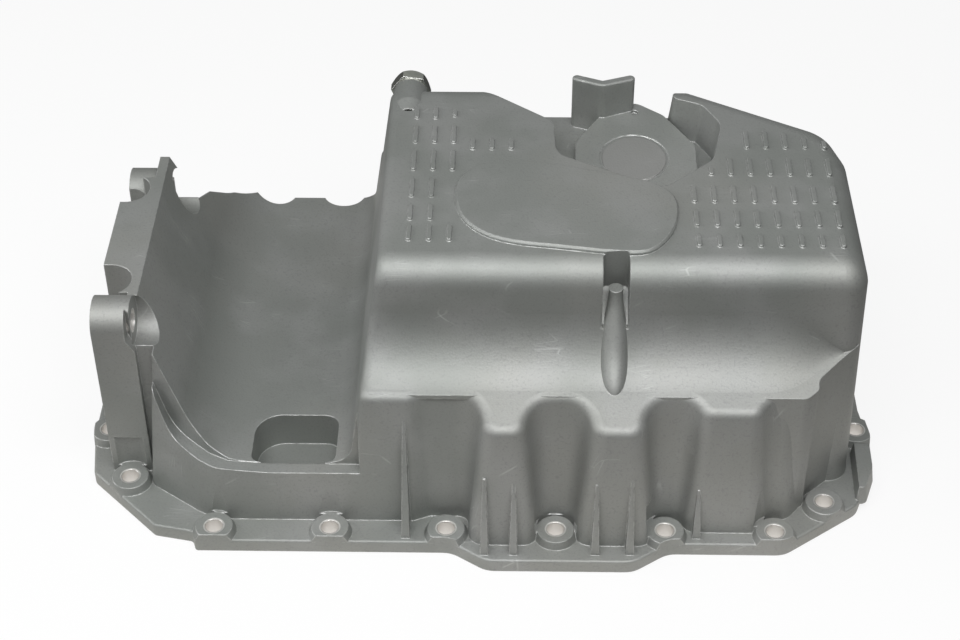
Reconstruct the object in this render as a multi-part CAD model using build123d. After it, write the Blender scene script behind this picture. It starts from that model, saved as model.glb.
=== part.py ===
from build123d import *
import os
from math import cos, radians, sin, tan

# A die-cast aluminium oil pan for a small four-cylinder engine, lying upside down on its gasket flange.
# X runs from the gearbox end (-) to the timing end (+), Y from front to back, and Z up from the gasket.

# ---------------------------------------------------------------- driving dimensions, mm
WALL = 4.5
FLANGE_THICKNESS = 7.5
PAD_TOP = 11.5
PAD_RADIUS = 9.4
BOLT_HOLE_RADIUS = 4.5
SOCKET_RADIUS = 11.0
SCALLOP_RADIUS = 12.5

SUMP_TOP = 145.0
SUMP_ROLL = 14.0
SUMP_DRAFT = 1.5
SUMP_LEAN = 8.5
SUMP_LEFT = -71.5
SUMP_LEFT_EDGE = 5.0
SHELL_DRAFT = 5.5
SHELF_HEIGHT = 79.0
SHELF_EDGE = 6.0
SHELF_CORNER = 16.0
SHELF_SLOPE = 20.0
SHELF_FRONT = -118.5
SHELF_BACK = 118.5
SADDLE_TOP = 39.0
SADDLE_ROUND = 40.0
SADDLE_MIDDLE = -113.0
SADDLE_RAMP = 64.4
SADDLE_CORNER = 12.0
# The rim beside the saddle: the height (x, z) of its top, and the plan (x, y) of the band over it.
RIM = ((-176, 97), (-168, 80), (-160.4, 58), (-154, 47), (-145, 43), (-135, 41), (-120, 39.2), (-106, 38))
RIM_BAND = ((-176, -130), (-60, -130), (-60, -98.5), (-127, -98.5), (-137, -94.6), (-165, -74.6), (-176, -66.7))

GEARBOX_FACE = -192.7
GEARBOX_BACK = -172.0
GEARBOX_TOP = 109.5
LUG_RADIUS = 12.5
LUG_BORE_RADIUS = 5.5
LUGS = ((-61.5, 101.0), (58.5, 92.0))
GROOVE_RADIUS = 12.0
GROOVES = ((-188.5, -40.2), (-190.5, 37.0))

FRONT_BOLTS = [(x, -117.0) for x in (-134.5, -75.5, -16.5, 39.0, 94.5, 150.0)]
BACK_BOLTS = [(x, 128.0) for x in (-124.5, -83.5, -24.5, 34.5, 93.5, 152.5)]
END_BOLTS = [
    (-182.5, -82.0), (177.2, -95.5), (-199.0, -46.5), (200.0, -42.0),
    (197.0, 17.0), (194.0, 84.0), (-178.0, 94.0), (-198.0, 37.0),
]

PLUG_X = -40.0
PLUG_Z = 138.2
BOSS_FACE_Y = 86.2
BOSS_RADIUS = 9.4
PLUG_BORE_RADIUS = 7.05
SHANK_RADIUS = 7.0
SHANK_LENGTH = 14.0
WASHER_RADIUS = 9.0
WASHER_THICKNESS = 1.5
HEX_ACROSS_FLATS = 19.0
HEX_HEIGHT = 8.0
PLUG_TURN = 9.0

NOTCH_FLOOR = 122.0
NOTCH_DRAFT = 7.0
SENSOR_X = 80.0
SENSOR_Y = 42.0
SENSOR_Z = 128.0
SENSOR_TILT = 7.0
SENSOR_FACE_RADIUS = 18.4
SHIELD = ((50, 81.5), (63.6, 76), (78.5, 81.5))
SHIELD_THICKNESS = 5.0
SHIELD_TOP = 153.0

TOP_PAD_HEIGHT = 2.2
POCKET_FLOOR = 18.5
SLOT_X = 66.5
SLOT_WIDTH = 13.0
SLOT_BACK = -60.5
SLOT_BOTTOM = 110.0
SLOT_HEAD = 125.0
RIB_WIDTH = 3.0
RIB_HEIGHT = 1.3

# Cast ribs on the sump's bottom: the X of each column, then the front and back ends of its ribs.
RIB_ROWS_LEFT = ((52, 63), (30, 46), (6, 24), (-16.5, -0.5), (-35.5, -22.5), (-52, -39))
RIB_ROWS_RIGHT = ((3.5, 18.5), (-19.5, -5), (-39, -25.5), (-55, -45))
RIBS = {
    -35: RIB_ROWS_LEFT,
    -25: RIB_ROWS_LEFT,
    -15: ((54, 60), (30, 46), (6, 24), (-52, -39)),
    -5: ((24.5, 34.5),),
    5: ((24.5, 34.5),),
    15: ((24.5, 34.5),),
    107: RIB_ROWS_RIGHT[1:],
    117: ((3.5, 10.5), *RIB_ROWS_RIGHT[1:]),
    127: RIB_ROWS_RIGHT,
    137: ((27, 43), *RIB_ROWS_RIGHT),
    147: ((27, 43), *RIB_ROWS_RIGHT),
    157: ((27, 41), *RIB_ROWS_RIGHT),
    167: ((27, 37), *RIB_ROWS_RIGHT),
    177: ((27, 34), *RIB_ROWS_RIGHT),
}
# Thin ribs up the front: X, front end on the flange, height at the wall, and the wall's Y at its foot.
GUSSETS = (
    (-37, -120.6, 72, -109), (3, -131.7, 50, -125.4), (17.6, -131.5, 48, -125.4), (58.8, -131, 47, -125.4),
    (76.2, -130.7, 50, -125.4), (110.4, -119, 35, -115.5),
)

# Plan outlines as (x, y, corner radius), anticlockwise seen from above.
FLANGE = [
    (-203, -76, 6), (-166, -113.5, 4), (-146, -117.5, 3), (-144, -123.5, 2), (-14, -123.5, 14),
    (4, -135.5, 14), (78, -135.5, 14), (96, -123, 14), (155, -123, 14), (195, -94, 12),
    (206, -66, 20), (207.5, -45, 8), (204.5, -22, 12), (204.5, 98, 14), (166, 135.5, 16),
    (-146, 135.5, 16), (-190, 102, 16), (-200, 76, 10), (-207.5, 30, 20), (-207.5, -46, 30),
]
SHELL = [
    (-172, -84, 6), (-144, -104, 10), (-134, -109, 14), (-33, -109, 6), (-25, -105.5, 2),
    (-6, -105.5, 5), (-6, -125.4, 8), (31, -125.4, 8), (31, -108, 5), (47.5, -108, 5),
    (47.5, -125.4, 9), (89.5, -125.4, 9), (89.5, -107, 4), (103, -107, 4), (103, -115.5, 8),
    (146, -115.5, 8), (146, -106, 4), (157, -106, 8), (165, -97, 5), (165, -70, 3),
    (186, -62, 6), (186, 88, 14), (152, 127, 14), (-134, 127, 10), (-150, 109, 10),
    (-162, 84, 10), (-172, 46, 4),
]
SHELF_END = [
    (140, -99, 1), (161, -99, 6), (167, -94, 3), (167, -89, 6), (179, -78, 8), (190, -69, 1), (140, -69, 1),
]
SUMP = [
    (-110, -77, 3), (192.5, -77, 11), (192.5, 24, 12), (185, 50, 24), (112, 91.5, 6), (-110, 91.5, 3),
]
NOTCH = [
    (-4, 100, 1), (-4, 83, 6), (36.5, 51, 8), (37.5, 22, 12), (58, 11, 10), (92, -8, 10),
    (120, 18, 14), (126, 50, 14), (117, 68, 6), (100.5, 75, 4), (107, 87, 3), (109, 100, 1),
]
TOP_PAD = [
    (-7, -38), (5.5, -49.5), (39, -57.3), (71, -61.5), (82.5, -60), (89.6, -53.5), (98.3, -29.4), (97, -15.5),
    (60, 5), (42, 10), (16, 14.2), (0.6, 11.4), (-10.4, 0), (-13, -18.5),
]
SENSOR_PAD = [
    (49, 0, 2), (113, 0, 2), (113, 52, 10), (97, 76, 8), (81, 87, 8), (62, 74, 8), (49, 54, 12),
]
POCKET = [(-115.6, -98.5, 5), (-72.7, -98.5, 5), (-72.7, -64, 8), (-115.6, -64, 14)]
FLANGE_LUG = [(194, -91, 1.5), (200, -91, 4), (206, -74, 8), (206.5, -57, 3), (195.5, -55, 1.5)]


def turn_at(corners, index):
    """How sharply the outline turns left at a corner: negative at a hollow corner."""
    before, here, after = (Vector(*corners[(index + step) % len(corners)][:2]) for step in (-1, 0, 1))
    return (here - before).cross(after - here).Z


def inset(corners, wall):
    """The outline moved inwards by the wall, with radii that keep the wall even round its corners."""
    moved = []
    for index, (x, y, radius) in enumerate(corners):
        before, after = (Vector(*corners[(index + step) % len(corners)][:2]) for step in (-1, 1))
        arrive = (Vector(x, y) - before).normalized()
        leave = (after - Vector(x, y)).normalized()
        inward = (arrive + leave).rotate(Axis.Z, 90) / (1 + arrive.dot(leave))
        new_radius = max(radius - wall, 1.5) if turn_at(corners, index) > 0 else radius
        moved.append((x + inward.X * wall, y + inward.Y * wall, new_radius))
    return moved


def steep_edges(body):
    """Edges that rise with the draft, such as the corners between walls."""
    return body.edges().filter_by(lambda edge: abs(edge.tangent_at(0.5).Z) > 0.7)


def drafted(corners, height, draft):
    """A prism that narrows upwards; hollow corners are rounded in plan and the others afterwards."""
    outward = [turn_at(corners, index) > 0 for index in range(len(corners))]
    sharp = [(x, y, 0 if out else radius) for (x, y, radius), out in zip(corners, outward)]
    body = extrude(outline(sharp), height, taper=draft)
    for (x, y, radius), out in zip(corners, outward):
        if out:
            foot = Vector(x, y, 0)
            edge = min(steep_edges(body), key=lambda e: min((e @ 0 - foot).length, (e @ 1 - foot).length))
            body = fillet(edge, radius)
    return body


def outline(corners):
    """A plan face with rounded corners."""
    return make_face(FilletPolyline(*[c[:2] for c in corners], radius=[c[2] for c in corners], close=True))


def along_x(profile, start, end):
    """A YZ profile run along X."""
    return extrude(Plane.YZ.offset(start) * profile, end - start)


def along_y(profile, start, end):
    """An XZ profile run along Y."""
    return extrude(Plane.XZ.offset(-start) * profile, start - end)


def box(low, high):
    """A box between two corners."""
    size = [b - a for a, b in zip(low, high)]
    return Pos(*low) * Box(*size, align=(Align.MIN, Align.MIN, Align.MIN))


def upright(x, y, bottom, radius, height):
    """A vertical cylinder that stands on a given level."""
    return Pos(x, y, bottom) * Cylinder(radius, height, align=(Align.CENTER, Align.CENTER, Align.MIN))


# ---------------------------------------------------------------- main bodies
def flange_plate():
    """The gasket flange, with its upper outside edge rounded."""
    plate = extrude(outline(FLANGE), FLANGE_THICKNESS)
    return fillet(plate.faces().sort_by(Axis.Z)[-1].outer_wire().edges(), 1.2)


def saddle_profile(drop):
    """XZ section of the saddle: a steep ramp off the gearbox wall, a round and a flat floor."""
    top = SADDLE_TOP - drop
    radius = SADDLE_ROUND + drop
    lean = radians(SADDLE_RAMP)
    head_z = GEARBOX_TOP - drop
    foot = (SADDLE_MIDDLE - radius * sin(lean), top + radius * (1 - cos(lean)))
    bend = (SADDLE_MIDDLE - radius * sin(lean / 2), top + radius * (1 - cos(lean / 2)))
    head = (foot[0] - (head_z - foot[1]) / tan(lean), head_z)
    left = GEARBOX_FACE + 6 + drop
    floor_start = (SADDLE_MIDDLE, top)
    ground = Polyline(floor_start, (-50, top), (-50, -1), (left, -1), (left, head_z), head, foot)
    return make_face(ground + ThreePointArc(foot, bend, floor_start))


def shelf_profile(drop):
    """YZ section of the shelf, which slopes up to the sump from the front and from the back."""
    low = SHELF_HEIGHT - drop
    rise = tan(radians(SHELF_SLOPE))
    points = [
        (SHELF_FRONT - 30, -1), (SHELF_FRONT - 30, low - 30 * rise), (-40, low + (-40 - SHELF_FRONT) * rise),
        (66, low + (SHELF_BACK - 66) * rise), (SHELF_BACK + 30, low - 30 * rise), (SHELF_BACK + 30, -1),
    ]
    return make_face(Polyline(*points, close=True))


def shelf_corner():
    """YZ section of the metal that rounds the hollow corner between the shelf and the front wall."""
    slope = radians(SHELF_SLOPE)
    lean = radians(SUMP_DRAFT)
    wall_y = SUMP[0][1] + 100 * tan(lean)
    centre_y = wall_y - SHELF_CORNER * cos(lean) + 0.15
    floor_z = SHELF_HEIGHT + (centre_y - SHELF_FRONT) * tan(slope)
    centre_z = floor_z + SHELF_CORNER / cos(slope) - 0.15
    points = [
        (centre_y + SHELF_CORNER * sin(slope), centre_z - SHELF_CORNER * cos(slope)),
        (centre_y + SHELF_CORNER * sin(radians(50)), centre_z - SHELF_CORNER * cos(radians(50))),
        (centre_y + SHELF_CORNER, centre_z),
    ]
    inside = (-60.0, 70.0)
    return make_face(ThreePointArc(*points) + Polyline(points[2], (-60, points[2][1]), inside, points[0]))


def left_of_sump(wall):
    """The space left of the sump's leaning left wall."""
    lean = radians(SUMP_LEAN)
    foot = SUMP_LEFT + wall / cos(lean)
    points = [(-260, -1), (foot, -1), (foot + 160 * tan(lean), 159), (-260, 159)]
    return along_y(make_face(Polyline(*points, close=True)), -200, 200)


def front_edges(body):
    """The edges of the front shelf round its columns and scallops."""
    shelf = [f for f in body.faces() if f.normal_at(f.center()).Z > 0.9 and f.normal_at(f.center()).Y < -0.2][0]
    return shelf.outer_wire().edges().filter_by(lambda e: (e @ 0.5).Y < -41 and (e @ 0.5).X > -109)


def shelf_end():
    """The right end of the shelf, whose walls stand upright."""
    return extrude(outline(SHELF_END), 104) & along_x(shelf_profile(0), 100, 200)


def deep_part(wall):
    """The sump and the shelf in front of it, cut off at the leaning left wall."""
    column = drafted(inset(SHELL, wall) if wall else SHELL, 104, SHELL_DRAFT)
    shelf = column & along_x(shelf_profile(wall), -110, 200)
    if not wall:
        shelf = fillet(front_edges(shelf), SHELF_EDGE)
        shelf += column & along_x(shelf_corner(), -110, 156)
        shelf += shelf_end()
    tank = drafted(inset(SUMP, wall) if wall else SUMP, SUMP_TOP - wall, SUMP_DRAFT)
    tank = fillet(tank.faces().sort_by(Axis.Z)[-1].outer_wire().edges(), SUMP_ROLL - wall)
    body = shelf + tank - left_of_sump(wall)
    left_edges = body.faces().sort_by(Axis.X)[0].outer_wire().edges().filter_by(lambda e: (e @ 0.5).Z > 3)
    return body if wall else fillet(left_edges, SUMP_LEFT_EDGE)


def saddle_part(wall):
    """The shallow end, whose floor and ramp clear the gearbox."""
    column = drafted(inset(SHELL, wall) if wall else SHELL, 104, SHELL_DRAFT)
    return column & along_y(saddle_profile(wall), -150, 150)


def gearbox_wall():
    """The thick end wall with two screw lugs and two upright grooves for the gearbox bolts' heads."""
    depth = GEARBOX_BACK - GEARBOX_FACE
    wall = box((GEARBOX_FACE, -50, 0), (GEARBOX_BACK, 47, GEARBOX_TOP))
    for y, z in LUGS:
        wall += box((GEARBOX_FACE, y - LUG_RADIUS, 0), (GEARBOX_BACK, y + LUG_RADIUS, z))
        wall += Pos(GEARBOX_FACE + depth / 2, y, z) * Rot(0, 90, 0) * Cylinder(LUG_RADIUS, depth)
    wall += box((GEARBOX_BACK - 5, -70, 0), (-150, 66, 110)) & along_y(saddle_profile(0), -70, 66)
    for x, y in GROOVES:
        wall -= upright(x, y, -1, GROOVE_RADIUS, 130)
        wall -= box((GEARBOX_FACE - 5, y - GROOVE_RADIUS, -1), (x, y + GROOVE_RADIUS, 130))
    return wall


def ramp_recess(grow):
    """The space over the rim of the shallow end, which folds down below the ramp and follows the wall."""
    rim = Spline([(x, z - grow) for x, z in RIM])
    above = Polyline(rim @ 1, (-60, RIM[-1][1] - grow), (-60, 130), (RIM[0][0], 130), rim @ 0)
    band = Polyline(*RIM_BAND, close=True)
    plan = make_face(offset(make_face(band), grow, kind=Kind.INTERSECTION) if grow else band)
    return along_y(make_face(rim + above), -130, -60) & extrude(plan, 130)


def pocket(grow):
    """The deep pocket beside the rim, which leaves room for a bolt head."""
    floor = POCKET_FLOOR - grow
    return Pos(0, 0, floor) * extrude(outline(inset(POCKET, -grow) if grow else POCKET), 60)


def slot(grow):
    """The upright slot in the sump's front edge."""
    half = SLOT_WIDTH / 2 + grow
    back = SLOT_BACK + grow
    low = SLOT_BOTTOM - grow
    side = [(-120, 160), (-120, low), (SUMP[0][1] + 1, low), (back, SLOT_HEAD - grow), (back, 160)]
    cut = along_x(make_face(Polyline(*side, close=True)), SLOT_X - half, SLOT_X + half)
    return fillet(steep_edges(cut).filter_by(lambda e: (e @ 0.5).Y > back - 1), 2)


def drop_rib():
    """The drop-shaped rib that runs out of the slot and down over the shelf."""
    stations = (
        (-68, 130, 3.6, 0), (-72, 114, 5.2, 5), (-76.5, 102, 6.8, 22), (-84, 92, 7.0, 48), (-92, 87, 5.4, 65),
    )
    rings = [Pos(SLOT_X, y, z) * Rot(-angle, 0, 0) * Circle(radius) for y, z, radius, angle in stations]
    return loft([*[ring.face() for ring in rings], Vertex(SLOT_X, -99, 84)])


def notch(grow):
    """The space of the sensor notch, open to the back, with drafted walls and a level floor."""
    top = outline(inset(NOTCH, -grow) if grow else NOTCH)
    return extrude(Plane.XY.offset(SUMP_TOP + 5) * top, NOTCH_FLOOR - grow - SUMP_TOP - 5, taper=NOTCH_DRAFT)


def sensor_pad():
    """The machined pad for the level sensor, which rises a little to the back."""
    level = Pos(SENSOR_X, SENSOR_Y, SENSOR_Z) * Rot(SENSOR_TILT, 0, 0)
    pad = Pos(0, 0, NOTCH_FLOOR - 3) * extrude(outline(SENSOR_PAD), 30)
    pad -= level * box((-60, -60, 0), (60, 60, 40))
    pad -= level * (Cylinder(SENSOR_FACE_RADIUS, 1) - Cylinder(SENSOR_FACE_RADIUS - 1.4, 1))
    return pad - Pos(81.5, 78, NOTCH_FLOOR + 20) * Cylinder(2, 22)


def shield_fin():
    """The V-shaped shield behind the sensor pad."""
    line = FilletPolyline(*SHIELD, radius=4)
    height = SHIELD_TOP - NOTCH_FLOOR + 3
    fin = Pos(0, 0, NOTCH_FLOOR - 3) * extrude(make_face(offset(line, SHIELD_THICKNESS / 2)), height)
    return fillet(fin.faces().sort_by(Axis.Z)[-1].outer_wire().edges(), 1.2)


def plug_axis(y):
    """The place on the drain's axis at a given Y, with Z turned to point outwards."""
    return Pos(PLUG_X, y, PLUG_Z) * Rot(-90, 0, 0)


def outward(y, radius, length):
    """A cylinder along the drain's axis that starts at a given Y."""
    return plug_axis(y) * Cylinder(radius, length, align=(Align.CENTER, Align.CENTER, Align.MIN))


def drain_boss():
    """The boss round the drain, proud of the sump's rolled edge."""
    return outward(69, BOSS_RADIUS, BOSS_FACE_Y - 69) + plug_axis(65) * Cone(7.5, BOSS_RADIUS, 8)


def cast_ribs():
    """The short ribs on the sump's bottom."""
    shapes = []
    for x, rows in RIBS.items():
        for front, back in rows:
            rib = extrude(SlotOverall(back - front, RIB_WIDTH, rotation=90), RIB_HEIGHT + 0.8, taper=12)
            shapes.append(Pos(x, (front + back) / 2, SUMP_TOP - 0.8) * rib)
    return shapes


def gusset(x, front_y, top_z, wall_y):
    """A thin rib between the flange and the front wall, thinner towards its top."""
    top_y = wall_y + top_z * tan(radians(SHELL_DRAFT))
    side = Polyline((front_y, 6), (front_y, 9), (top_y, top_z), (-90, top_z), (-90, 6), close=True)
    face = Polyline((x - 2.2, 5), (x - 0.7, top_z), (x + 0.7, top_z), (x + 2.2, 5), close=True)
    return along_x(make_face(side), x - 3, x + 3) & along_y(make_face(face), -140, -80)


def top_pad():
    """The smooth raised pad on the sump's bottom."""
    pad = Pos(0, 0, SUMP_TOP - 6) * extrude(make_face(Spline(TOP_PAD, periodic=True)), 6 + TOP_PAD_HEIGHT)
    return chamfer(pad.faces().sort_by(Axis.Z)[-1].outer_wire().edges(), 1)


def bolt_pads():
    """The raised pads of the flange bolts, each with a flared foot, trimmed to the flange's outline."""
    pads = Part()
    for x, y in FRONT_BOLTS + BACK_BOLTS + END_BOLTS:
        foot = Cone(PAD_RADIUS + 2, PAD_RADIUS, PAD_TOP - 7, align=(Align.CENTER, Align.CENTER, Align.MIN))
        pads += [Pos(x, y, 7) * foot, upright(x, y, 1, PAD_RADIUS, PAD_TOP - 1)]
    return pads & extrude(outline(FLANGE), PAD_TOP)


def cavity():
    """The space for the oil, open at the gasket face, with cores left round whatever is cut from outside."""
    space = deep_part(WALL) + saddle_part(WALL)
    space += box((-200, -22, 0), (-150, 20, 86)) & along_y(saddle_profile(WALL), -40, 40)
    space -= [notch(WALL), slot(WALL), pocket(WALL), ramp_recess(WALL), drain_boss()]
    space -= [upright(x, y, -1, SOCKET_RADIUS + 3.5, 34) for x, y in FRONT_BOLTS + END_BOLTS]
    space -= [upright(x, y, -1, SCALLOP_RADIUS + WALL, 110) for x, y in BACK_BOLTS]
    return space


def pan_casting():
    """The cast pan."""
    body = deep_part(0) + saddle_part(0)
    corner = body.edges().filter_by(lambda e: abs((e @ 0.5).Z - SADDLE_TOP) < 1 and abs((e @ 0.5).X + 66) < 6)
    body = fillet(corner.filter_by(lambda e: e.length > 60), SADDLE_CORNER)
    body += gearbox_wall()
    body += top_pad()
    body += cast_ribs()
    body -= [notch(0), slot(0), pocket(0), ramp_recess(0)]
    body += [drain_boss(), sensor_pad(), shield_fin(), drop_rib()]
    body += [gusset(*place) for place in GUSSETS]
    body -= [upright(x, y, PAD_TOP, SOCKET_RADIUS, 20) for x, y in FRONT_BOLTS + END_BOLTS]
    body -= [upright(x, y, PAD_TOP, SCALLOP_RADIUS, 110) for x, y in BACK_BOLTS]
    body -= outward(BOSS_FACE_Y, WASHER_RADIUS + 2, 20)
    body += flange_plate()
    body += Pos(0, 0, 5) * extrude(outline(FLANGE_LUG), 11, taper=8)
    body += bolt_pads()
    body -= cavity()
    body -= [upright(x, y, -1, BOLT_HOLE_RADIUS, 20) for x, y in FRONT_BOLTS + BACK_BOLTS + END_BOLTS]
    body -= outward(60, PLUG_BORE_RADIUS, 40)
    for y, z in LUGS:
        bore = Pos(GEARBOX_FACE, y, z) * Rot(0, 90, 0)
        body -= bore * Cylinder(LUG_BORE_RADIUS, 70)
        body -= bore * Pos(0, 0, 19 + 20) * Cylinder(LUG_RADIUS, 40)
    return body


def drain_plug():
    """The hexagon-headed drain plug, with its shank in the sump."""
    seat = BOSS_FACE_Y + WASHER_THICKNESS
    hexagon = extrude(RegularPolygon(HEX_ACROSS_FLATS / 2, 6, major_radius=False, rotation=PLUG_TURN), HEX_HEIGHT)
    standing = (Align.CENTER, Align.CENTER, Align.MIN)
    crown = Cone(HEX_ACROSS_FLATS / 2 + 7, HEX_ACROSS_FLATS / 2 - 0.6, HEX_HEIGHT + 3, align=standing)
    head = plug_axis(seat) * (hexagon & Pos(0, 0, -3) * crown)
    shank = outward(seat - SHANK_LENGTH, SHANK_RADIUS, SHANK_LENGTH)
    return head + shank


def sealing_washer():
    """The flat sealing washer under the plug's head."""
    ring = outward(BOSS_FACE_Y, WASHER_RADIUS, WASHER_THICKNESS)
    return ring - outward(BOSS_FACE_Y - 1, SHANK_RADIUS + 0.3, WASHER_THICKNESS + 2)


os.makedirs("parts", exist_ok=True)
export_step(pan_casting(), "parts/pan_casting.step")
export_step(drain_plug(), "parts/drain_plug.step")
export_step(sealing_washer(), "parts/sealing_washer.step")
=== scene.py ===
# %% [markdown]
# # A die-cast engine oil pan
#
# The solid model of the pan is loaded as a fixed frame. This file dresses it: a blasted aluminium skin with
# machined faces and bright edges (a painted highlight as well as wear), one long hollow blend that the solid
# lacks, soft studio light and a camera. Lengths are in metres, apart from named sizes said to be in
# millimetres.

# %% Load the frame
import math

import bmesh
import bpy
from mathutils import Matrix, Vector


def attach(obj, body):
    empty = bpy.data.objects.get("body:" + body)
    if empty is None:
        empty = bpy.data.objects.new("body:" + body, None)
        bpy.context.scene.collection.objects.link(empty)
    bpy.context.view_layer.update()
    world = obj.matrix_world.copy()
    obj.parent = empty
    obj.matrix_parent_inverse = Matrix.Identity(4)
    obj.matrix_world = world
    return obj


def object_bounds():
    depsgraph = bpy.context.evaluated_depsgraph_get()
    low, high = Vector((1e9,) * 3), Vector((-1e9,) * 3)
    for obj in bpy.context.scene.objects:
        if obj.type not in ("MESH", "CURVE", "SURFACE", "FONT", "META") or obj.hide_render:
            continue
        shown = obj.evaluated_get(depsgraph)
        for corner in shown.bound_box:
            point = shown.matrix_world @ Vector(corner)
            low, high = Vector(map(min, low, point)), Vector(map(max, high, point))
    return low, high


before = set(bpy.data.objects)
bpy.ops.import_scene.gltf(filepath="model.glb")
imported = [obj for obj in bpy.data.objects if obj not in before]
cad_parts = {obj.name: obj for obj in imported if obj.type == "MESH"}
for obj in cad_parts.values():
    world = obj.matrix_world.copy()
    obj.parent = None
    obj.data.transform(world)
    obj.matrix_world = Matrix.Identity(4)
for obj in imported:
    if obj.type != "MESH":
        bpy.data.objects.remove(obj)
cad_low, cad_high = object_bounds()
print("CAD box", [round(v, 4) for v in (*cad_low, *cad_high)])

# %% [markdown]
# ## Shader maths as plain expressions
#
# A node tree is easier to read as a formula than as a web of links. One small class wraps a socket, and
# its operators add the Math nodes, so `1 - mask * 0.5` builds two of them. Colours go through a Mix node,
# because a Math node would turn them grey.

# %% A socket that does maths


class Sum:
    """A socket of a node tree, with arithmetic that adds Math nodes."""

    def __init__(self, tree, socket):
        self.tree = tree
        self.socket = socket

    def _math(self, operation, *values, clamp=False):
        node = self.tree.add("ShaderNodeMath", {"operation": operation, "use_clamp": clamp}, values)
        return node.out(0)

    def __add__(self, other):
        return self._math("ADD", self, other)

    __radd__ = __add__

    def __sub__(self, other):
        return self._math("SUBTRACT", self, other)

    def __rsub__(self, other):
        return self._math("SUBTRACT", other, self)

    def __mul__(self, other):
        return self._math("MULTIPLY", self, other)

    __rmul__ = __mul__

    def __truediv__(self, other):
        return self._math("DIVIDE", self, other)

    def __pow__(self, other):
        return self._math("POWER", self, other)

    def lowest(self, other):
        return self._math("MINIMUM", self, other)

    def between(self, low, high):
        """0 below low, 1 above high, with a smooth step from one to the other."""
        node = self.tree.add(
            "ShaderNodeMapRange",
            {"interpolation_type": "SMOOTHSTEP", "clamp": True},
            {"Value": self, "From Min": low, "From Max": high},
        )
        return node.out("Result")


class Node:
    """A node that has been added, whose outputs are read by name or number."""

    def __init__(self, tree, node):
        self.tree = tree
        self.node = node

    def out(self, key):
        return Sum(self.tree, self.node.outputs[key])


class Tree:
    """A node tree with one method that adds any node."""

    def __init__(self, owner):
        owner.use_nodes = True
        self.nodes = owner.node_tree.nodes
        self.links = owner.node_tree.links
        self.nodes.clear()

    def add(self, kind, settings=None, inputs=()):
        """Adds a node of a kind. Settings come first, then values or links for its inputs."""
        node = self.nodes.new(kind)
        for name, value in (settings or {}).items():
            setattr(node, name, value)
        pairs = inputs.items() if isinstance(inputs, dict) else enumerate(inputs)
        for key, value in pairs:
            if isinstance(value, Sum):
                self.links.new(value.socket, node.inputs[key])
            else:
                node.inputs[key].default_value = value
        return Node(self, node)

    def ramp(self, factor, stops):
        """A colour ramp with (position, colour) stops."""
        ramp = self.add("ShaderNodeValToRGB", {}, {"Fac": factor})
        elements = ramp.node.color_ramp.elements
        elements[0].position, elements[0].color = stops[0]
        elements[1].position, elements[1].color = stops[-1]
        for position, colour in stops[1:-1]:
            elements.new(position).color = colour
        return ramp.out("Color")

    def mix(self, factor, first, second):
        """A blend of two colours."""
        node = self.add("ShaderNodeMix", {"data_type": "RGBA"}, {0: factor, 6: first, 7: second})
        return node.out(2)

    def noise(self, place, scale, detail=2.0, roughness=0.5):
        """Soft noise about 0.5, at a scale in features per metre."""
        node = self.add(
            "ShaderNodeTexNoise",
            {},
            {"Vector": place, "Scale": scale, "Detail": detail, "Roughness": roughness},
        )
        return node.out("Fac")

    def place(self):
        """The point on the piece, in the object's own coordinates."""
        return self.add("ShaderNodeTexCoord").out("Object")

    def parts(self, vector):
        """The X, Y and Z of a vector."""
        node = self.add("ShaderNodeSeparateXYZ", {}, {0: vector})
        return node.out("X"), node.out("Y"), node.out("Z")


def grey(level, tint=(1.0, 1.0, 1.0)):
    """A near-grey colour with its alpha."""
    return (level * tint[0], level * tint[1], level * tint[2], 1.0)


# %% [markdown]
# ## Where the machined places are
#
# The casting is one piece of metal with two finishes. Everything is blasted apart from what a cutter has
# touched: the bolt holes and a narrow ring round each, the screw holes in the end wall and the sensor's
# round face. The material finds those places by their distance from known centres.

# %% Centres of the machined places, in millimetres
MILLIMETRE = 0.001
BOLTS = [(x, -117.0) for x in (-134.5, -75.5, -16.5, 39.0, 94.5, 150.0)]
BOLTS += [(x, 128.0) for x in (-124.5, -83.5, -24.5, 34.5, 93.5, 152.5)]
BOLTS += [(-182.5, -82.0), (177.2, -95.5), (-199.0, -46.5), (200.0, -42.0)]
BOLTS += [(197.0, 17.0), (194.0, 84.0), (-178.0, 94.0), (-198.0, 37.0)]
BOLT_RADIUS = 4.5
BOLT_RING = 0.9
PAD_TOP = 11.5
LUGS = [(-61.5, 101.0), (58.5, 92.0)]
LUG_RADIUS = 6.2
LUG_DEPTH = -160.0
SENSOR = (80.0, 42.0, 128.0)
SENSOR_RADIUS = 18.4
SENSOR_LIP = 1.2


def cylinder_mask(tree, along, centre, radius, softness=0.3):
    """1 inside a round bar round a centre, in millimetres, that runs along the axis left out."""
    first, second = along
    across = (first / MILLIMETRE - centre[0]) ** 2.0 + (second / MILLIMETRE - centre[1]) ** 2.0
    return 1 - (across ** 0.5).between(radius - softness, radius + softness)


# %% [markdown]
# ## Blasted cast aluminium
#
# Shot blasting leaves thousands of tiny dents, so the metal is grey and satin rather than shiny. Under that
# lie slow changes of tone from the mould's spray, and over it come bright edges, painted as a highlight
# along the rounded edges as well as wear, and a few light scratches. A Bevel node compares the rounded
# normal with
# the true one: where they differ there is an edge.

# %% The casting's material


def highlit_and_worn_edges(tree, radius, gain):
    """A mask of outward and inward edges for painted highlights and wear, from how far a rounded normal
    departs from the true one.
    """
    rounded = tree.add("ShaderNodeBevel", {"samples": 6}, {"Radius": radius})
    true = tree.add("ShaderNodeNewGeometry")
    dot = tree.add(
        "ShaderNodeVectorMath",
        {"operation": "DOT_PRODUCT"},
        {0: rounded.out("Normal"), 1: true.out("Normal")},
    )
    return (1 - dot.out("Value")) * gain, rounded.out("Normal")


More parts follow.
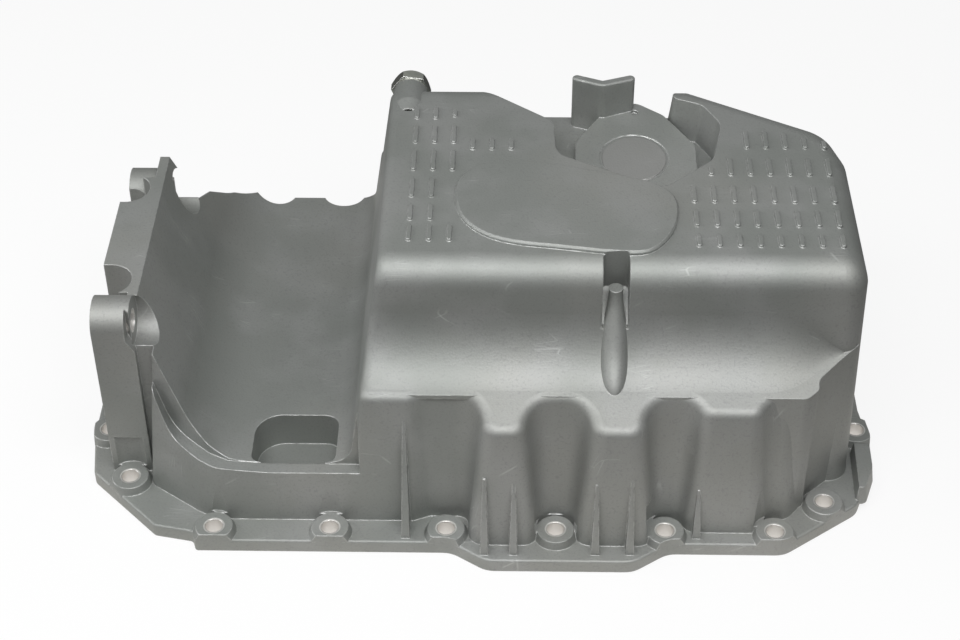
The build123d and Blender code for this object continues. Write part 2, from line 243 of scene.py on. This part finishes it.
def scratches(tree, place, turn, seed, amount):
    """A few thin straight scratches that lie about one way."""
    shift = (seed, seed * 0.7, seed * 0.3)
    stretch = (7.0, 90.0, 7.0)
    turned = tree.add(
        "ShaderNodeMapping",
        {},
        {"Vector": place, "Rotation": turn, "Location": shift, "Scale": stretch},
    ).out(0)
    lines = tree.add(
        "ShaderNodeTexVoronoi",
        {"feature": "DISTANCE_TO_EDGE"},
        {"Vector": turned, "Scale": 2.3, "Randomness": 1.0},
    ).out("Distance")
    broken = tree.noise(place, 55.0, 1.0).between(0.60, 0.72)
    return (1 - lines.between(0.0, 0.012)) * broken * amount


def cast_aluminium():
    """Blasted aluminium with machined places, bright edges painted as highlight and wear, and light
    scratches.
    """
    material = bpy.data.materials.new("blasted cast aluminium")
    tree = Tree(material)
    place = tree.place()
    x, y, z = tree.parts(place)
    machined = 0.0
    for centre in BOLTS:
        machined = cylinder_mask(tree, (x, y), centre, BOLT_RADIUS + BOLT_RING) + machined
    machined = machined * (1 - (z / MILLIMETRE).between(PAD_TOP + 0.3, PAD_TOP + 0.6))
    for centre in LUGS:
        inside = cylinder_mask(tree, (y, z), centre, LUG_RADIUS)
        machined = inside * (1 - (x / MILLIMETRE).between(LUG_DEPTH, LUG_DEPTH + 1.0)) + machined
    level = (z / MILLIMETRE).between(SENSOR[2] - 5, SENSOR[2] - 4.5)
    disc = cylinder_mask(tree, (x, y), SENSOR[:2], SENSOR_RADIUS - SENSOR_LIP) * level
    machined = machined.lowest(1.0)

    edge, rounded = highlit_and_worn_edges(tree, 0.0009, 5.0)
    patches = tree.noise(place, 28.0, 3.0)
    spray = tree.noise(place, 9.0, 2.0)
    pits = tree.noise(place, 1500.0, 2.0, 0.7)
    grains = tree.add("ShaderNodeTexVoronoi", {}, {"Vector": place, "Scale": 900.0}).out("Distance")
    marks = scratches(tree, place, (0.3, 0.2, 0.5), 0.4, 0.34)
    marks = marks + scratches(tree, place, (0.1, 0.6, 2.2), 3.1, 0.26)
    # Bright edges: a painted highlight along the rounded edges, broken up by noise, and partly wear too.
    rubbed_and_highlit = (edge * tree.noise(place, 260.0, 2.0).between(0.30, 0.62)).lowest(1.0)

    cool = grey(0.335, (0.96, 1.0, 0.955))
    warm = grey(0.385, (0.99, 1.0, 0.955))
    tone = tree.mix(spray.between(0.35, 0.65), cool, warm)
    tone = tree.mix(patches.between(0.40, 0.66) * 0.5, tone, grey(0.42, (0.99, 1.0, 0.99)))
    tone = tree.mix(grains.between(0.55, 0.95) * 0.35, tone, grey(0.27))
    # Lightens the edges as painted highlight and wear, and the scratches as wear.
    tone = tree.mix((rubbed_and_highlit * 0.8 + marks).lowest(1.0), tone, grey(0.72, (0.99, 1.0, 0.99)))
    tone = tree.mix(disc * 0.6, tone, grey(0.42, (1.0, 0.99, 0.97)))
    tone = tree.mix(machined, tone, grey(0.78, (1.0, 0.98, 0.95)))
    rough = 0.64 + (pits - 0.5) * 0.16 - rubbed_and_highlit * 0.14 - machined * 0.22 - disc * 0.08

    height = pits * 0.5 + grains * 0.6 + tree.noise(place, 320.0, 2.0) * 0.7
    bump = tree.add(
        "ShaderNodeBump",
        {},
        {"Strength": 0.4, "Distance": 0.00016, "Height": height * (1 - machined), "Normal": rounded},
    )
    shader = tree.add(
        "ShaderNodeBsdfPrincipled",
        {},
        {"Base Color": tone, "Roughness": rough, "Metallic": 0.85, "Normal": bump.out("Normal")},
    )
    tree.add("ShaderNodeOutputMaterial", {}, {"Surface": shader.out("BSDF")})
    return material


def bright_zinc():
    """Zinc plate with a faint green-yellow cast, and bright edges painted as highlight as well as wrench
    rubs.
    """
    material = bpy.data.materials.new("bright zinc plate")
    tree = Tree(material)
    place = tree.place()
    edge, rounded = highlit_and_worn_edges(tree, 0.0006, 4.0)
    stain = tree.noise(place, 160.0, 3.0)
    tone = tree.mix(stain.between(0.35, 0.7), grey(0.66, (0.98, 1.0, 0.90)), grey(0.52, (0.97, 1.0, 0.92)))
    # Lighter edges: a painted highlight along the plug's edges, partly also wrench rubs.
    tone = tree.mix(edge.lowest(1.0), tone, grey(0.85))
    bump = tree.add(
        "ShaderNodeBump",
        {},
        {"Strength": 0.2, "Distance": 0.0001, "Height": tree.noise(place, 900.0, 2.0), "Normal": rounded},
    )
    rough = 0.24 + stain * 0.2
    shader = tree.add(
        "ShaderNodeBsdfPrincipled",
        {},
        {"Base Color": tone, "Roughness": rough, "Metallic": 1.0, "Normal": bump.out("Normal")},
    )
    tree.add("ShaderNodeOutputMaterial", {}, {"Surface": shader.out("BSDF")})
    return material


def soft_washer():
    """Soft bare aluminium with a slight mottle."""
    material = bpy.data.materials.new("washer aluminium")
    tree = Tree(material)
    place = tree.place()
    tone = tree.mix(tree.noise(place, 300.0, 2.0), grey(0.60), grey(0.74))
    shader = tree.add(
        "ShaderNodeBsdfPrincipled",
        {},
        {"Base Color": tone, "Roughness": 0.36, "Metallic": 1.0},
    )
    tree.add("ShaderNodeOutputMaterial", {}, {"Surface": shader.out("BSDF")})
    return material


def dress(node, material):
    """Gives every slot of a CAD node the same material."""
    node_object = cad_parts[node]
    for mesh_slot in node_object.material_slots:
        mesh_slot.material = material
    print(node, len(node_object.data.vertices), "vertices", len(node_object.material_slots), "slots")


CAST = cast_aluminium()
dress("pan_casting", CAST)
dress("drain_plug", bright_zinc())
dress("sealing_washer", soft_washer())

# %% [markdown]
# ## The long hollow blend
#
# The sump's front wall runs down into the shelf in one long hollow curve. The solid has a smaller corner
# there, so a bar of the same metal fills it. Each cross section is an arc that touches the wall and the
# shelf and sinks a tenth of a millimetre into both, which leaves no line. The left end is rounded like the
# edge of the leaning wall. The right end fades out along the shelf's slanting edge. The slot stays open.

# %% Sizes of the blend, in millimetres
BLEND_RADIUS = 38.0
BLEND_SINK = 0.12
WALL_FOOT = -77.0
WALL_DRAFT = math.radians(1.5)
SHELF_LINE = (-118.5, 79.0)
SHELF_SLOPE = math.radians(20.0)
LEFT_FOOT = -71.5
LEFT_FOOT_HEIGHT = -1.0
LEFT_LEAN = math.radians(8.5)
LEFT_ROUND = 5.0
LEFT_INSET = 0.1
HIDDEN_DEPTH = 2.5
ARC_STEPS = 24
ROUND_STEPS = 6
SLOT_CENTRE = (66.5, -80.0, 130.0)
SLOT_SIZE = (13.0, 80.0, 40.0)
EVEN_STATIONS = (-30.0, 52.0, 59.0, 74.0, 81.0)
RIGHT_FADE = (
    (140.0, 38.0), (146.0, 37.2), (151.0, 35.3), (156.0, 32.0), (161.0, 27.2),
    (166.0, 21.0), (171.0, 14.0), (176.0, 7.2), (180.0, 2.5),
)


def arc_centre(radius, sink):
    """The point at the given distance from the wall's plane and from the shelf's plane."""
    reach = radius - sink
    rise = math.tan(SHELF_SLOPE)
    draft = math.tan(WALL_DRAFT)
    lift = SHELF_LINE[1] - SHELF_LINE[0] * rise + reach / math.cos(SHELF_SLOPE)
    y = (WALL_FOOT + lift * draft - reach / math.cos(WALL_DRAFT)) / (1.0 - rise * draft)
    return y, lift + y * rise


def blend_section(radius, inward):
    """The YZ outline of one cross section: the hollow arc, then three points inside the metal."""
    y, z = arc_centre(radius, BLEND_SINK)
    first = -math.pi / 2 + SHELF_SLOPE
    last = -WALL_DRAFT
    reach = radius + inward
    outline = []
    for step in range(ARC_STEPS + 1):
        angle = first + (last - first) * step / ARC_STEPS
        outline.append((y + reach * math.cos(angle), z + reach * math.sin(angle)))
    foot, head = outline[0], outline[-1]
    depth = max(HIDDEN_DEPTH, inward + 0.5)
    outline.append((head[0] + depth, head[1]))
    outline.append(arc_centre(0.0, depth))
    outline.append((foot[0], foot[1] - depth))
    return outline


def left_row(made, turn):
    """One row of points near the leaning left wall, where the edge has turned by an angle."""
    away = LEFT_INSET + LEFT_ROUND * (1.0 - math.cos(turn))
    inward = LEFT_ROUND * (1.0 - math.sin(turn))
    row = []
    for y, z in blend_section(BLEND_RADIUS, inward):
        edge = LEFT_FOOT + (z - LEFT_FOOT_HEIGHT) * math.tan(LEFT_LEAN)
        row.append(made.verts.new(Vector((edge + away, y, z)) * MILLIMETRE))
    return row


def upright_row(made, x, radius):
    """One row of points in an upright plane across the bar."""
    return [made.verts.new(Vector((x, y, z)) * MILLIMETRE) for y, z in blend_section(radius, 0.0)]


def blend_bar():
    """The bar through all its cross sections, as a mesh with closed ends."""
    made = bmesh.new()
    rows = []
    for step in range(ROUND_STEPS + 1):
        rows.append(left_row(made, math.radians(90.0 / ROUND_STEPS * step)))
    for x in EVEN_STATIONS:
        rows.append(upright_row(made, x, BLEND_RADIUS))
    for x, radius in RIGHT_FADE:
        rows.append(upright_row(made, x, radius))
    for near, far in zip(rows, rows[1:]):
        for here in range(len(near)):
            there = (here + 1) % len(near)
            made.faces.new((near[here], near[there], far[there], far[here]))
    made.faces.new(rows[0])
    made.faces.new(rows[-1])
    bmesh.ops.recalc_face_normals(made, faces=made.faces)
    return made


def as_object(name, made):
    """Turns a bmesh into a smooth-shaded object."""
    mesh = bpy.data.meshes.new(name)
    made.to_mesh(mesh)
    made.free()
    for face in mesh.polygons:
        face.use_smooth = True
    mesh.set_sharp_from_angle(angle=math.radians(35.0))
    piece = bpy.data.objects.new(name, mesh)
    bpy.context.collection.objects.link(piece)
    return piece


def slot_cutter():
    """A box in the place of the slot."""
    made = bmesh.new()
    bmesh.ops.create_cube(made, size=1.0)
    bmesh.ops.scale(made, verts=made.verts, vec=Vector(SLOT_SIZE) * MILLIMETRE)
    bmesh.ops.translate(made, verts=made.verts, vec=Vector(SLOT_CENTRE) * MILLIMETRE)
    return as_object("slot cutter", made)


def front_blend():
    """The finished blend, with the slot cut through it."""
    blend = as_object("front_blend", blend_bar())
    cutter = slot_cutter()
    cut = blend.modifiers.new("slot", "BOOLEAN")
    cut.operation = "DIFFERENCE"
    cut.solver = "EXACT"
    cut.object = cutter
    depsgraph = bpy.context.evaluated_depsgraph_get()
    result = bpy.data.meshes.new_from_object(blend.evaluated_get(depsgraph))
    blend.modifiers.clear()
    blend.data = result
    bpy.data.objects.remove(cutter)
    result.materials.clear()
    result.materials.append(CAST)
    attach(blend, "pan")
    print("front_blend", len(result.polygons), "faces")


front_blend()

# %% [markdown]
# ## Floor
#
# The pan stands on its gasket face on a white floor. To the camera the floor is white with the pan's soft
# shadow on it. To diffuse light it is a pale board. In the metal's reflections it is bright close to the
# pan and dark further out, which lights the front walls from below.

# %% A pale floor


def make_floor():
    """A large pale disc just under the gasket face."""
    mesh = bpy.data.meshes.new("floor")
    made = bmesh.new()
    bmesh.ops.create_circle(made, cap_ends=True, segments=96, radius=4.0)
    bmesh.ops.translate(made, verts=made.verts, vec=(0.0, 0.0, cad_low.z - 0.0004))
    made.to_mesh(mesh)
    made.free()
    floor = bpy.data.objects.new("floor", mesh)
    bpy.context.collection.objects.link(floor)
    material = bpy.data.materials.new("pale floor")
    tree = Tree(material)
    seen = tree.add("ShaderNodeLightPath")
    board = tree.add("ShaderNodeBsdfDiffuse", {}, {"Color": grey(0.80)})
    glow = tree.add("ShaderNodeEmission", {}, {"Color": grey(1.0), "Strength": 1.0})
    across, along, _ = tree.parts(tree.place())
    reach = ((across / 1.25) ** 2.0 + along ** 2.0) ** 0.5
    sheen = tree.mix(reach.between(0.17, 0.30), grey(0.92, (1.0, 0.97, 0.93)), grey(0.06))
    mirror_glow = tree.add("ShaderNodeEmission", {}, {"Color": sheen, "Strength": 1.0})
    camera_look = tree.add("ShaderNodeMixShader", {}, {0: 0.86, 1: board.out(0), 2: glow.out(0)})
    others = tree.add(
        "ShaderNodeMixShader",
        {},
        {0: seen.out("Is Glossy Ray"), 1: board.out(0), 2: mirror_glow.out(0)},
    )
    look = tree.add(
        "ShaderNodeMixShader",
        {},
        {0: seen.out("Is Camera Ray"), 1: others.out(0), 2: camera_look.out(0)},
    )
    tree.add("ShaderNodeOutputMaterial", {}, {"Surface": look.out(0)})
    floor.data.materials.append(material)


make_floor()

# %% [markdown]
# ## Studio light
#
# Satin metal shows the room more than the lamps, so the room is part of the light: bright overhead like a
# big soft box, darker towards the horizon. A wide lamp above the front edge shapes the rolled edges, and the
# background is white to the camera.

# %% World and lamps


def make_world():
    """A room bright overhead and dim at the horizon, and white where the camera looks past the pan."""
    world = bpy.data.worlds.new("studio")
    bpy.context.scene.world = world
    tree = Tree(world)
    direction = tree.add("ShaderNodeTexCoord").out("Generated")
    _, _, up = tree.parts(direction)
    room = tree.ramp(
        up,
        [
            (0.0, grey(0.08)),
            (0.25, grey(0.16, (0.98, 1.0, 0.99))),
            (0.60, grey(0.42, (0.97, 1.0, 0.98))),
            (0.80, grey(0.42, (0.98, 1.0, 0.99))),
            (1.0, grey(0.38)),
        ],
    )
    seen = tree.add("ShaderNodeLightPath")
    white = tree.add("ShaderNodeBackground", {}, {"Color": grey(1.0), "Strength": 1.0})
    lit = tree.add("ShaderNodeBackground", {}, {"Color": room, "Strength": 0.9})
    look = tree.add(
        "ShaderNodeMixShader",
        {},
        {0: seen.out("Is Camera Ray"), 1: lit.out(0), 2: white.out(0)},
    )
    tree.add("ShaderNodeOutputWorld", {}, {"Surface": look.out(0)})


def soft_box(name, place, aim, size, power):
    """A rectangular lamp that points at a spot."""
    data = bpy.data.lights.new(name, "AREA")
    data.shape = "RECTANGLE"
    data.size, data.size_y = size
    data.energy = power
    lamp = bpy.data.objects.new(name, data)
    lamp.location = place
    lamp.rotation_mode = "QUATERNION"
    lamp.rotation_quaternion = (Vector(aim) - Vector(place)).to_track_quat("-Z", "Y")
    bpy.context.collection.objects.link(lamp)


make_world()
soft_box("front soft box", (0.0, -0.42, 0.85), (0.0, -0.02, 0.12), (0.9, 0.4), 7.2)
soft_box("left fill", (-1.0, -0.1, 0.6), (0.0, 0.0, 0.05), (0.6, 0.6), 4.0)

# %% [markdown]
# ## Camera
#
# A long lens from about a metre away looks down on the pan by 40 degrees.

# %% The camera
CAMERA_PLACE = (0.0158, -0.7985, 0.7344)
CAMERA_PITCH = math.radians(40.58)
CAMERA_TURN = math.radians(1.217)
CAMERA_ROLL = math.radians(-0.307)
FRAME_WIDTH = 960.0
FOCAL_PIXELS = 1948.0
SENSOR_WIDTH = 36.0


def make_camera():
    """A camera placed by its direction of view and its small roll."""
    right = Vector((math.cos(CAMERA_TURN), math.sin(CAMERA_TURN), 0.0))
    ahead = Vector((-math.sin(CAMERA_TURN), math.cos(CAMERA_TURN), 0.0))
    forward = ahead * math.cos(CAMERA_PITCH) + Vector((0.0, 0.0, -math.sin(CAMERA_PITCH)))
    up = right.cross(forward)
    level_right = right * math.cos(CAMERA_ROLL) + up * math.sin(CAMERA_ROLL)
    level_up = up * math.cos(CAMERA_ROLL) - right * math.sin(CAMERA_ROLL)
    data = bpy.data.cameras.new("camera")
    data.sensor_width = SENSOR_WIDTH
    data.lens = FOCAL_PIXELS / FRAME_WIDTH * SENSOR_WIDTH
    camera = bpy.data.objects.new("camera", data)
    bpy.context.collection.objects.link(camera)
    turned = Matrix((level_right, level_up, -forward)).transposed()
    camera.matrix_world = Matrix.Translation(CAMERA_PLACE) @ turned.to_4x4()
    bpy.context.scene.camera = camera


make_camera()
bpy.context.scene.view_settings.view_transform = "Standard"
